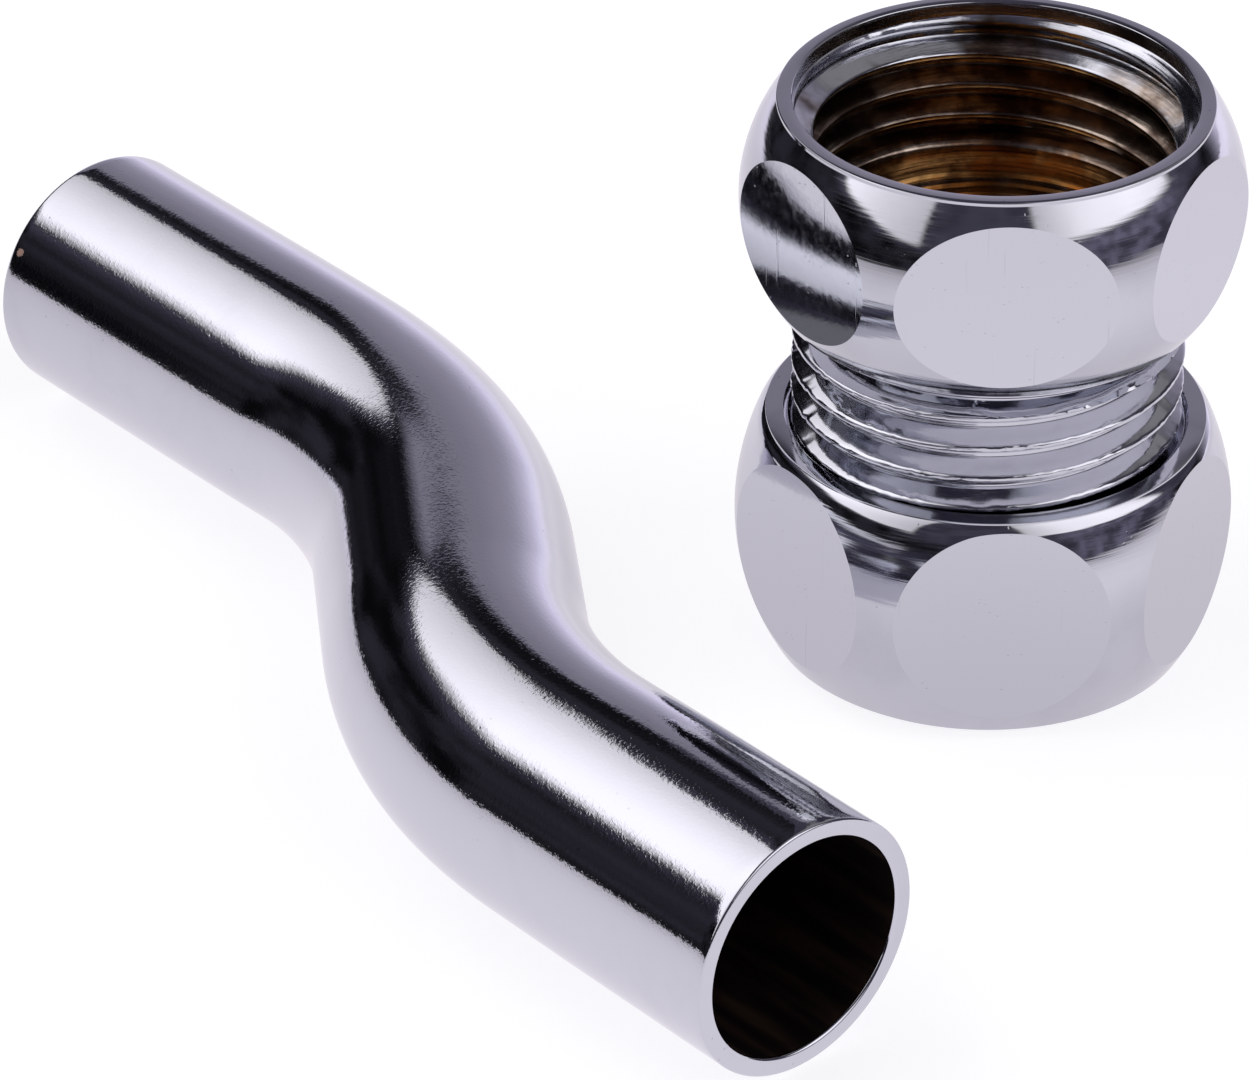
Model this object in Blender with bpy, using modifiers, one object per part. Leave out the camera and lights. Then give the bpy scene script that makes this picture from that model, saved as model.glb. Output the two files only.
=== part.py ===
"""Offset tube and straight compression coupling, built as four separate pieces.

A chrome plated offset tube (14 x 1 mm) lies flat on the ground plane.  Beside it a coupling stands
upright on its nut: a one-piece fitting body with a domed hexagon head, a G 1/2 socket and a G 1/2
male thread, a domed compression nut screwed onto that thread, and the compression ring inside.

Units are metres, +Z is up, X runs along the tube's legs.
"""

import math

import bmesh
import bpy
from mathutils import Vector

MM = 0.001

# --- where the two items stand ---------------------------------------------------------------
TUBE_NEAR_END_X = 37.84 * MM
TUBE_NEAR_LEG_Y = -20.29 * MM
COUPLING_X = 14.06 * MM
COUPLING_Y = 14.44 * MM

# --- offset tube -----------------------------------------------------------------------------
TUBE_OUTER_RADIUS = 7.0 * MM
TUBE_WALL = 1.0 * MM
NEAR_LEG_LENGTH = 17.4 * MM
FAR_LEG_LENGTH = 20.6 * MM
NEAR_BEND_RADIUS = 25.2 * MM
FAR_BEND_RADIUS = 28.2 * MM
BEND_ANGLE = math.radians(35.55)
SLANT_LENGTH = 8.15 * MM
TUBE_EDGE_BREAK = 0.15 * MM
TUBE_SEGMENTS = 44
BEND_STATIONS = 13

# --- G 1/2 pipe thread -----------------------------------------------------------------------
THREAD_PITCH = 1.814 * MM
MALE_MAJOR_RADIUS = 10.44 * MM
MALE_MINOR_RADIUS = 9.28 * MM
MALE_CREST_HALF = 0.13 * MM
MALE_ROOT_HALF = 0.207 * MM
FEMALE_MAJOR_RADIUS = 10.62 * MM
FEMALE_MINOR_RADIUS = 9.46 * MM
FEMALE_GROOVE_HALF = 0.21 * MM
FEMALE_LAND_HALF = 0.127 * MM
SEGMENTS = 72
FRONT_AZIMUTH = math.radians(-44.9)
CREST_HEIGHT_AT_FRONT = 18.68 * MM

# --- fitting body ----------------------------------------------------------------------------
BODY_TOP = 32.0 * MM
HEAD_MIDDLE = 26.25 * MM
HEAD_BARREL_RADIUS = 13.31 * MM
HEAD_BARREL_CURVE = 9.1 * MM
HEAD_UNDERSIDE = 20.65 * MM
HEAD_ACROSS_FLATS = 24.0 * MM
HEAD_FLAT_AZIMUTH = math.radians(-40.6)
RIM_OUTER_RADIUS = 11.2 * MM
RIM_INNER_RADIUS = 10.62 * MM
SOCKET_FLOOR = 21.2 * MM
SOCKET_THREAD_END = 24.3 * MM
SOCKET_BORE_RADIUS = 9.3 * MM
WATERWAY_RADIUS = 6.1 * MM
TUBE_STOP = 16.0 * MM
TUBE_SOCKET_RADIUS = 7.15 * MM
BODY_BOTTOM = 5.8 * MM
MOUTH_RADIUS = 8.45 * MM
NECK_RADIUS = 9.55 * MM
THREAD_RUNOUT = 19.35 * MM
COLLAR_RADIUS = 10.9 * MM
COLLAR_BOTTOM = 20.3 * MM

# --- compression nut -------------------------------------------------------------------------
NUT_HEIGHT = 13.2 * MM
NUT_MIDDLE = 7.1 * MM
NUT_BARREL_RADIUS = 13.34 * MM
NUT_BARREL_CURVE = 13.5 * MM
NUT_ACROSS_FLATS = 24.1 * MM
NUT_FLAT_AZIMUTH = math.radians(-39.0)
NUT_FOOT_RADIUS = 11.35 * MM
NUT_RIM_RADIUS = 11.4 * MM
NUT_MOUTH_RADIUS = 10.95 * MM
NUT_THREAD_END = 3.9 * MM
NUT_SEAT_FLOOR = 2.8 * MM
NUT_HOLE_RADIUS = 7.3 * MM

# --- compression ring ------------------------------------------------------------------------
RING_MIDDLE = 4.3 * MM
RING_HALF_HEIGHT = 2.4 * MM
RING_LAND_HALF = 0.8 * MM
RING_BORE_RADIUS = 7.08 * MM
RING_LAND_RADIUS = 8.5 * MM
RING_NOSE_RADIUS = 7.45 * MM
CONE_SLOPE = (RING_LAND_RADIUS - RING_NOSE_RADIUS) / (RING_HALF_HEIGHT - RING_LAND_HALF)


def clear_scene():
    for obj in list(bpy.data.objects):
        bpy.data.objects.remove(obj, do_unlink=True)


def plating(name, color, roughness):
    material = bpy.data.materials.new(name)
    material.use_nodes = True
    shader = material.node_tree.nodes["Principled BSDF"]
    shader.inputs["Base Color"].default_value = (color[0], color[1], color[2], 1.0)
    shader.inputs["Metallic"].default_value = 1.0
    shader.inputs["Roughness"].default_value = roughness
    return material


def finish_object(name, bm, material, collection, position):
    """Turn the mesh into a named object whose origin sits on the piece's own axis."""
    bmesh.ops.recalc_face_normals(bm, faces=bm.faces)
    mesh = bpy.data.meshes.new(name)
    bm.to_mesh(mesh)
    bm.free()
    mesh.materials.append(material)
    mesh.shade_smooth()
    mesh.set_sharp_from_angle(angle=math.radians(30.0))
    obj = bpy.data.objects.new(name, mesh)
    obj.location = position
    collection.objects.link(obj)
    return obj


def add_ring(bm, radius, height, count=SEGMENTS):
    ring = []
    for j in range(count):
        angle = 2.0 * math.pi * j / count
        ring.append(bm.verts.new((radius * math.cos(angle), radius * math.sin(angle), height)))
    return ring


def join_rings(bm, first, second):
    count = len(first)
    for j in range(count):
        k = (j + 1) % count
        bm.faces.new((first[j], first[k], second[k], second[j]))


def barrel_radius(height, middle, belly, curve):
    """Radius of the domed hexagon blank at one height: an arc with its belly at the middle."""
    rise = height - middle
    return belly - curve + math.sqrt(curve * curve - rise * rise)


def helix_zone(bm, bottom, top, low_radius, high_radius, low_half, high_half, ends):
    """One threaded zone between two plain rings.  Returns its bottom and top ring.

    The profile has a flat of half width high_half at high_radius and a flat of half width
    low_half at low_radius.  ends = (bottom radius, bottom run, top radius, top run): the
    profile blends into those radii over those lengths, as a chamfer or a run-out does.
    """
    bottom_radius, bottom_run, top_radius, top_run = ends
    half_pitch = THREAD_PITCH / 2.0
    steps = ((-high_half, high_radius), (high_half, high_radius),
             (half_pitch - low_half, low_radius), (half_pitch + low_half, low_radius))
    first_turn = math.floor((bottom - CREST_HEIGHT_AT_FRONT) / THREAD_PITCH) - 3
    turns = int((top - bottom) / THREAD_PITCH) + 7
    bottom_ring = add_ring(bm, bottom_radius, bottom)
    top_ring = add_ring(bm, top_radius, top)
    snap = 0.02 * MM
    cache = {}

    def corner(row, j):
        if j == SEGMENTS:
            return corner(row + len(steps), 0)
        if (row, j) in cache:
            return cache[(row, j)]
        turn, step = divmod(row, len(steps))
        angle = 2.0 * math.pi * j / SEGMENTS
        lead = THREAD_PITCH * (angle - FRONT_AZIMUTH) / (2.0 * math.pi)
        height = CREST_HEIGHT_AT_FRONT + (first_turn + turn) * THREAD_PITCH + steps[step][0] + lead
        if height <= bottom + snap:
            vert = bottom_ring[j]
        elif height >= top - snap:
            vert = top_ring[j]
        else:
            radius = steps[step][1]
            into_bottom = max(0.0, 1.0 - (height - bottom) / bottom_run)
            into_top = max(0.0, 1.0 - (top - height) / top_run)
            radius += (bottom_radius - radius) * into_bottom
            radius += (top_radius - radius) * into_top
            vert = bm.verts.new((radius * math.cos(angle), radius * math.sin(angle), height))
        cache[(row, j)] = vert
        return vert

    for row in range(turns * len(steps)):
        for j in range(SEGMENTS):
            loop = []
            for vert in (corner(row, j), corner(row, j + 1),
                         corner(row + 1, j + 1), corner(row + 1, j)):
                if vert not in loop:
                    loop.append(vert)
            if len(loop) > 2:
                bm.faces.new(loop)
    return bottom_ring, top_ring


def male_thread(bm, bottom, top, ends):
    return helix_zone(bm, bottom, top, MALE_MINOR_RADIUS, MALE_MAJOR_RADIUS,
                      MALE_ROOT_HALF, MALE_CREST_HALF, ends)


def female_thread(bm, bottom, top, ends):
    return helix_zone(bm, bottom, top, FEMALE_MINOR_RADIUS, FEMALE_MAJOR_RADIUS,
                      FEMALE_LAND_HALF, FEMALE_GROOVE_HALF, ends)


def mill_flats(bm, across_flats, azimuth):
    """Cut six wrench flats into the domed blank and close each one with a plane face."""
    for k in range(6):
        angle = azimuth + k * math.pi / 3.0
        normal = Vector((math.cos(angle), math.sin(angle), 0.0))
        geometry = bm.verts[:] + bm.edges[:] + bm.faces[:]
        cut = bmesh.ops.bisect_plane(bm, geom=geometry, dist=1e-7,
                                     plane_co=normal * across_flats / 2.0,
                                     plane_no=normal, clear_outer=True)
        edges = [e for e in cut["geom_cut"] if isinstance(e, bmesh.types.BMEdge)]
        edges = [e for e in edges if len(e.link_faces) == 1]
        bmesh.ops.edgeloop_fill(bm, edges=edges)


def close_rings(bm, rings):
    """Join a list of rings; an entry that is a pair is a zone that already has its own faces."""
    previous = None
    for entry in rings:
        low, high = entry if isinstance(entry, tuple) else (entry, entry)
        if previous is not None:
            join_rings(bm, previous, low)
        previous = high
    start = rings[0][0] if isinstance(rings[0], tuple) else rings[0]
    join_rings(bm, previous, start)


def build_fitting_body():
    bm = bmesh.new()
    rings = []
    # outside, from the lower end upwards
    rings.append(add_ring(bm, MALE_MINOR_RADIUS - 0.25 * MM, BODY_BOTTOM))
    rings.append(male_thread(bm, BODY_BOTTOM + 0.25 * MM, THREAD_RUNOUT,
                             (MALE_MINOR_RADIUS, 1.0 * MM, NECK_RADIUS, 0.45 * MM)))
    rings.append(add_ring(bm, NECK_RADIUS, COLLAR_BOTTOM - 0.35 * MM))
    rings.append(add_ring(bm, NECK_RADIUS + 0.45 * MM, COLLAR_BOTTOM))
    rings.append(add_ring(bm, COLLAR_RADIUS, HEAD_UNDERSIDE - 0.1 * MM))
    steps = 14
    for k in range(steps + 1):
        height = HEAD_UNDERSIDE + (BODY_TOP - 0.12 * MM - HEAD_UNDERSIDE) * k / steps
        radius = barrel_radius(height, HEAD_MIDDLE, HEAD_BARREL_RADIUS, HEAD_BARREL_CURVE)
        rings.append(add_ring(bm, radius, height))
    rings.append(add_ring(bm, RIM_OUTER_RADIUS - 0.1 * MM, BODY_TOP))
    # inside, from the rim downwards
    rings.append(add_ring(bm, RIM_INNER_RADIUS, BODY_TOP))
    low, high = female_thread(bm, SOCKET_THREAD_END, BODY_TOP - 0.3 * MM,
                              (SOCKET_BORE_RADIUS, 0.7 * MM, RIM_INNER_RADIUS - 0.1 * MM, 1.1 * MM))
    rings.append((high, low))
    rings.append(add_ring(bm, SOCKET_BORE_RADIUS, SOCKET_FLOOR))
    rings.append(add_ring(bm, WATERWAY_RADIUS, SOCKET_FLOOR))
    rings.append(add_ring(bm, WATERWAY_RADIUS, TUBE_STOP))
    rings.append(add_ring(bm, TUBE_SOCKET_RADIUS, TUBE_STOP))
    cone_height = (MOUTH_RADIUS - TUBE_SOCKET_RADIUS) / CONE_SLOPE
    rings.append(add_ring(bm, TUBE_SOCKET_RADIUS, BODY_BOTTOM + cone_height))
    rings.append(add_ring(bm, MOUTH_RADIUS, BODY_BOTTOM))
    close_rings(bm, rings)
    mill_flats(bm, HEAD_ACROSS_FLATS, HEAD_FLAT_AZIMUTH)
    return bm


def build_compression_nut():
    bm = bmesh.new()
    rings = []
    # outside, from the foot upwards
    rings.append(add_ring(bm, NUT_FOOT_RADIUS - 0.15 * MM, 0.0))
    steps = 14
    low_end = 0.2 * MM
    high_end = NUT_HEIGHT - 0.28 * MM
    for k in range(steps + 1):
        height = low_end + (high_end - low_end) * k / steps
        radius = barrel_radius(height, NUT_MIDDLE, NUT_BARREL_RADIUS, NUT_BARREL_CURVE)
        rings.append(add_ring(bm, radius, height))
    rings.append(add_ring(bm, NUT_RIM_RADIUS, NUT_HEIGHT))
    # inside, from the mouth downwards
    rings.append(add_ring(bm, NUT_MOUTH_RADIUS, NUT_HEIGHT))
    low, high = female_thread(bm, NUT_THREAD_END, NUT_HEIGHT - 0.33 * MM,
                              (FEMALE_MAJOR_RADIUS, 0.6 * MM, FEMALE_MAJOR_RADIUS, 0.9 * MM))
    rings.append((high, low))
    rings.append(add_ring(bm, FEMALE_MAJOR_RADIUS, NUT_SEAT_FLOOR))
    rings.append(add_ring(bm, MOUTH_RADIUS, NUT_SEAT_FLOOR))
    cone_height = (MOUTH_RADIUS - NUT_HOLE_RADIUS) / CONE_SLOPE
    rings.append(add_ring(bm, NUT_HOLE_RADIUS, NUT_SEAT_FLOOR - cone_height))
    rings.append(add_ring(bm, NUT_HOLE_RADIUS, 0.2 * MM))
    rings.append(add_ring(bm, NUT_HOLE_RADIUS + 0.2 * MM, 0.0))
    close_rings(bm, rings)
    mill_flats(bm, NUT_ACROSS_FLATS, NUT_FLAT_AZIMUTH)
    return bm


def turned_piece(name, outline, material, collection, position):
    """A closed outline in the XZ plane, outer side listed top to bottom, turned by a Screw."""
    mesh = bpy.data.meshes.new(name)
    verts = [(radius, 0.0, height) for radius, height in outline]
    count = len(verts)
    mesh.from_pydata(verts, [(k, (k + 1) % count) for k in range(count)], [])
    mesh.materials.append(material)
    obj = bpy.data.objects.new(name, mesh)
    obj.location = position
    collection.objects.link(obj)
    screw = obj.modifiers.new("turn", "SCREW")
    screw.axis = "Z"
    screw.steps = SEGMENTS
    screw.render_steps = SEGMENTS
    screw.use_merge_vertices = True
    screw.merge_threshold = 1e-6
    screw.use_smooth_shade = True
    return obj


def build_compression_ring(material, collection, position):
    outline = (
        (RING_NOSE_RADIUS, RING_MIDDLE + RING_HALF_HEIGHT),
        (RING_LAND_RADIUS, RING_MIDDLE + RING_LAND_HALF),
        (RING_LAND_RADIUS, RING_MIDDLE - RING_LAND_HALF),
        (RING_NOSE_RADIUS, RING_MIDDLE - RING_HALF_HEIGHT),
        (RING_BORE_RADIUS, RING_MIDDLE - RING_HALF_HEIGHT),
        (RING_BORE_RADIUS, RING_MIDDLE + RING_HALF_HEIGHT),
    )
    return turned_piece("compression_ring", outline, material, collection, position)


def tube_centre_line():
    """Centre line of the offset tube as (x, y) points from the near end, in the tube's frame."""
    points = [(0.0, 0.0)]
    x = -NEAR_LEG_LENGTH
    for k in range(BEND_STATIONS + 1):
        turn = BEND_ANGLE * k / BEND_STATIONS
        points.append((x - NEAR_BEND_RADIUS * math.sin(turn),
                       NEAR_BEND_RADIUS * (1.0 - math.cos(turn))))
    x, y = points[-1]
    centre_x = x - SLANT_LENGTH * math.cos(BEND_ANGLE) - FAR_BEND_RADIUS * math.sin(BEND_ANGLE)
    centre_y = y + SLANT_LENGTH * math.sin(BEND_ANGLE) - FAR_BEND_RADIUS * math.cos(BEND_ANGLE)
    for k in range(BEND_STATIONS + 1):
        turn = BEND_ANGLE * (1.0 - k / BEND_STATIONS)
        points.append((centre_x + FAR_BEND_RADIUS * math.sin(turn),
                       centre_y + FAR_BEND_RADIUS * math.cos(turn)))
    x, y = points[-1]
    points.append((x - FAR_LEG_LENGTH, y))
    return points


def build_offset_tube(material, collection, position):
    """Sweep the outer skin along the centre line, then give it its wall on the inside."""
    curve = bpy.data.curves.new("tube_path", "CURVE")
    curve.dimensions = "3D"
    curve.bevel_depth = TUBE_OUTER_RADIUS
    curve.bevel_resolution = TUBE_SEGMENTS // 2 - 2
    points = tube_centre_line()
    spline = curve.splines.new("POLY")
    spline.points.add(len(points) - 1)
    for point, (x, y) in zip(spline.points, points):
        point.co = (x, y, TUBE_OUTER_RADIUS, 1.0)
    path = bpy.data.objects.new("tube_path", curve)
    collection.objects.link(path)
    bpy.context.view_layer.update()
    mesh = bpy.data.meshes.new_from_object(path.evaluated_get(bpy.context.evaluated_depsgraph_get()))
    bpy.data.objects.remove(path, do_unlink=True)
    mesh.materials.clear()
    mesh.materials.append(material)
    mesh.shade_smooth()
    tube = bpy.data.objects.new("offset_tube", mesh)
    tube.location = position
    collection.objects.link(tube)
    wall = tube.modifiers.new("wall", "SOLIDIFY")
    wall.thickness = TUBE_WALL
    wall.offset = -1.0
    wall.use_even_offset = True
    edge = tube.modifiers.new("edge_break", "BEVEL")
    edge.width = TUBE_EDGE_BREAK
    edge.segments = 1
    edge.limit_method = "ANGLE"
    edge.angle_limit = math.radians(60.0)
    return tube


def main():
    clear_scene()
    collection = bpy.data.collections.new("offset_tube_and_coupling")
    bpy.context.scene.collection.children.link(collection)
    chrome = (0.82, 0.82, 0.86)
    brass = (0.78, 0.57, 0.27)
    coupling = (COUPLING_X, COUPLING_Y, 0.0)
    finish_object("fitting_body", build_fitting_body(),
                  plating("body_chrome", chrome, 0.12), collection, coupling)
    finish_object("compression_nut", build_compression_nut(),
                  plating("nut_chrome", chrome, 0.14), collection, coupling)
    build_compression_ring(plating("ring_brass", brass, 0.3), collection, coupling)
    build_offset_tube(plating("tube_chrome", chrome, 0.08), collection,
                      (TUBE_NEAR_END_X, TUBE_NEAR_LEG_Y, 0.0))


main()
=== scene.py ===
"""Looks for the offset tube and the straight compression coupling.

Every CAD node is replaced by a finer skin of the same shape: true helical threads with rounded
crests, milled flats, turning marks, burrs, bright plating and bare brass.
"""

import math

import bmesh
import bpy
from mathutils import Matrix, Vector, noise


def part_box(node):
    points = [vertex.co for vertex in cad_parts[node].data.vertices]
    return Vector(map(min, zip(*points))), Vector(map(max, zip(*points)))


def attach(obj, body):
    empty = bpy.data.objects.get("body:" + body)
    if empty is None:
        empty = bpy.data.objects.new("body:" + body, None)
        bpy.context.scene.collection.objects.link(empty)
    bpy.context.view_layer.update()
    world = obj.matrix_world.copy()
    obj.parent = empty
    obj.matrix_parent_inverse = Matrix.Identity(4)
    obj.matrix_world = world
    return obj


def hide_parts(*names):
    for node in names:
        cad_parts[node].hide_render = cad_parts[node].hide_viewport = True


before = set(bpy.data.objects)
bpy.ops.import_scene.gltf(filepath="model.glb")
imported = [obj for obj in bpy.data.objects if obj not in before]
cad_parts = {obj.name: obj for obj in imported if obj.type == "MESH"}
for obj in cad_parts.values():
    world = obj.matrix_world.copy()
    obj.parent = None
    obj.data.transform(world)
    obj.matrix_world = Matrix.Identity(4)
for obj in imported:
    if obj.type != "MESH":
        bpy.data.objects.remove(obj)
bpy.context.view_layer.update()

MM = 0.001

# --- places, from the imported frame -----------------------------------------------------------
RING_LOW, RING_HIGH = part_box("compression_ring")
TUBE_LOW, TUBE_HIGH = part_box("offset_tube")
AXIS_X = (RING_LOW[0] + RING_HIGH[0]) / 2.0
AXIS_Y = (RING_LOW[1] + RING_HIGH[1]) / 2.0
TUBE_NEAR_X = TUBE_HIGH[0]
TUBE_NEAR_Y = TUBE_LOW[1] + 7.0 * MM  # its near end's middle is one radius in

# --- sizes -----------------------------------------------------------------------------------
PITCH = 1.814 * MM
# threads: small radius, large radius, half the flat at the small one, half at the large one
MALE = (9.28 * MM, 10.44 * MM, 0.207 * MM, 0.13 * MM)
FEMALE = (9.46 * MM, 10.62 * MM, 0.127 * MM, 0.21 * MM)
FRONT = math.radians(-44.9)  # a male crest crosses this azimuth at CREST_Z
CREST_Z = 18.68 * MM
SAME_HEIGHT = 0.01 * MM  # thread points this near a zone's end join its plain ring
# domes: height of the belly's middle, belly radius, radius of the curve
HEAD_DOME = (26.25 * MM, 13.31 * MM, 9.1 * MM)
NUT_DOME = (7.1 * MM, 13.34 * MM, 13.5 * MM)
DOME_STEPS = 48
HEAD_FLATS, HEAD_AZIMUTH = 24.0 * MM, math.radians(-40.6)
NUT_FLATS, NUT_AZIMUTH = 24.1 * MM, math.radians(-39.0)
HEAD_OFF_TRUE = (0.0, 0.0, 0.0, 0.0, 0.0, 1.2)  # degrees; the left flat mirrors the tube
SEGMENTS = 240
TUBE_SEGMENTS = 160
TUBE_RADIUS = 7.0 * MM
TUBE_BORE = 6.0 * MM
CHIP = (-37.1 * MM, -11.6 * MM, 10.6 * MM)  # a bare speck at the tube's far end


# =============================================================================================
# Mesh building
# =============================================================================================
class Skin:
    """Rings of points round a vertical axis, joined one after another into one closed skin."""

    def __init__(self, segments=SEGMENTS):
        self.bm = bmesh.new()
        self.segments = segments
        self.start = None
        self.last = None
        self.material = 0

    def ring(self, radius, height, waver=None):
        ring = []
        for j in range(self.segments):
            angle = 2.0 * math.pi * j / self.segments
            r, z = radius, height
            if waver is not None:
                dr, dz = waver(angle)
                r += dr
                z += dz
            ring.append(self.bm.verts.new((r * math.cos(angle), r * math.sin(angle), z)))
        return ring

    def face(self, loop):
        face = self.bm.faces.new(loop)
        face.material_index = self.material
        return face

    def join(self, low, high):
        for j in range(self.segments):
            k = (j + 1) % self.segments
            self.face((low[j], low[k], high[k], high[j]))

    def add(self, radius, height, waver=None):
        ring = self.ring(radius, height, waver)
        self.attach(ring, ring)

    def attach(self, first, last):
        if self.last is None:
            self.start = first
        else:
            self.join(self.last, first)
        self.last = last

    def close(self):
        self.join(self.last, self.start)

    def arc(self, centre_r, centre_z, radius, from_deg, to_deg, steps):
        for k in range(steps + 1):
            a = math.radians(from_deg + (to_deg - from_deg) * k / steps)
            self.add(centre_r + radius * math.cos(a), centre_z + radius * math.sin(a))

    def helix(self, bottom, top, profile, ends, downwards=False, phase=0.0, ragged=0.0, nick=0.0):
        """A threaded zone between two plain rings.

        ends: (radius, run) at the bottom and the top, where the thread fades into the ring.
        ragged: how unevenly the top fades; nick: depth of the small dents in the crests.
        """
        low, high, low_half, high_half = profile
        (bottom_radius, bottom_run), (top_radius, top_run) = ends
        steps = thread_steps(low, high, low_half, high_half)
        first_turn = math.floor((bottom - CREST_Z) / PITCH) - 3
        turns = int((top - bottom) / PITCH) + 7
        bottom_ring = self.ring(bottom_radius, bottom)
        top_ring = self.ring(top_radius, top)
        cache = {}
        count = len(steps)

        def corner(row, j):
            if j == self.segments:
                return corner(row + count, 0)
            key = (row, j)
            if key in cache:
                return cache[key]
            turn, step = divmod(row, count)
            angle = 2.0 * math.pi * j / self.segments
            lead = PITCH * (angle - FRONT) / (2.0 * math.pi) + phase
            z = CREST_Z + (first_turn + turn) * PITCH + steps[step][0] + lead
            if z <= bottom + SAME_HEIGHT:
                vert = bottom_ring[j]
            elif z >= top - SAME_HEIGHT:
                vert = top_ring[j]
            else:
                r = steps[step][1]
                if nick:
                    spot = Vector((38.0 * math.cos(angle), 38.0 * math.sin(angle), z * 2100.0))
                    share = (r - low) / (high - low)
                    r -= nick * share * max(0.0, noise.noise(spot) - 0.12)
                bite = 0.0
                if ragged:
                    spot = Vector((3.0 * math.cos(angle), 3.0 * math.sin(angle), z * 900.0))
                    bite = ragged * noise.noise(spot)
                t = min(1.0, max(0.0, 1.0 - (z - bottom) / bottom_run))
                r += (bottom_radius - r) * t
                t = min(1.0, max(0.0, 1.0 - (top - z + bite) / top_run))
                r += (top_radius - r) * t
                vert = self.bm.verts.new((r * math.cos(angle), r * math.sin(angle), z))
            cache[key] = vert
            return vert

        for row in range(turns * count):
            for j in range(self.segments):
                loop = []
                for vert in (corner(row, j), corner(row, j + 1),
                             corner(row + 1, j + 1), corner(row + 1, j)):
                    if vert not in loop:
                        loop.append(vert)
                if len(loop) > 2:
                    self.face(loop)
        if downwards:
            self.attach(top_ring, bottom_ring)
        else:
            self.attach(bottom_ring, top_ring)

    def mill(self, across_flats, azimuth, material, off_true=(0.0,) * 6):
        """Six wrench flats, each cut by a plane and closed with one plane face."""
        for k in range(6):
            angle = azimuth + k * math.pi / 3.0 + math.radians(off_true[k])
            normal = Vector((math.cos(angle), math.sin(angle), 0.0))
            everything = self.bm.verts[:] + self.bm.edges[:] + self.bm.faces[:]
            cut = bmesh.ops.bisect_plane(self.bm, geom=everything, dist=1e-8,
                                         plane_co=normal * across_flats / 2.0,
                                         plane_no=normal, clear_outer=True)
            edges = [e for e in cut["geom_cut"] if isinstance(e, bmesh.types.BMEdge)]
            edges = [e for e in edges if len(e.link_faces) == 1]
            filled = bmesh.ops.edgeloop_fill(self.bm, edges=edges)
            for face in filled["faces"]:
                face.material_index = material


def soft_clamp(x, soft):
    """0 below 0 and 1 above 1, with the two corners rounded over a width of soft."""
    if x <= -soft:
        return 0.0
    if x < soft:
        return (x + soft) ** 2 / (4.0 * soft)
    if x <= 1.0 - soft:
        return x
    if x < 1.0 + soft:
        return 1.0 - (1.0 + soft - x) ** 2 / (4.0 * soft)
    return 1.0


def thread_steps(low, high, low_half, high_half, soft=0.13):
    """One pitch of thread as (offset, radius) pairs, crest first, with rounded crest and root."""
    flank = PITCH / 2.0 - low_half - high_half
    marks = (-soft, -soft / 3.0, soft / 3.0, soft, 0.5, 1.0 - soft, 1.0 - soft / 3.0,
             1.0 + soft / 3.0, 1.0 + soft)
    side = [(high_half + flank * m, high + (low - high) * soft_clamp(m, soft)) for m in marks]
    below = [(-offset, radius) for offset, radius in reversed(side)]
    return below + side


def barrel(height, dome):
    """Radius of a domed hexagon's turned outside at a height."""
    middle, belly, curve = dome
    rise = height - middle
    return belly - curve + math.sqrt(curve * curve - rise * rise)


def finish_piece(name, bm, materials, offset=(0.0, 0.0), sharp=24.0):
    bmesh.ops.recalc_face_normals(bm, faces=bm.faces)
    mesh = bpy.data.meshes.new(name)
    bm.to_mesh(mesh)
    bm.free()
    for vert in mesh.vertices:
        vert.co.x += offset[0]
        vert.co.y += offset[1]
    for material in materials:
        mesh.materials.append(material)
    mesh.shade_smooth()
    mesh.set_sharp_from_angle(angle=math.radians(sharp))
    obj = bpy.data.objects.new(name, mesh)
    bpy.context.scene.collection.objects.link(obj)
    return obj


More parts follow.
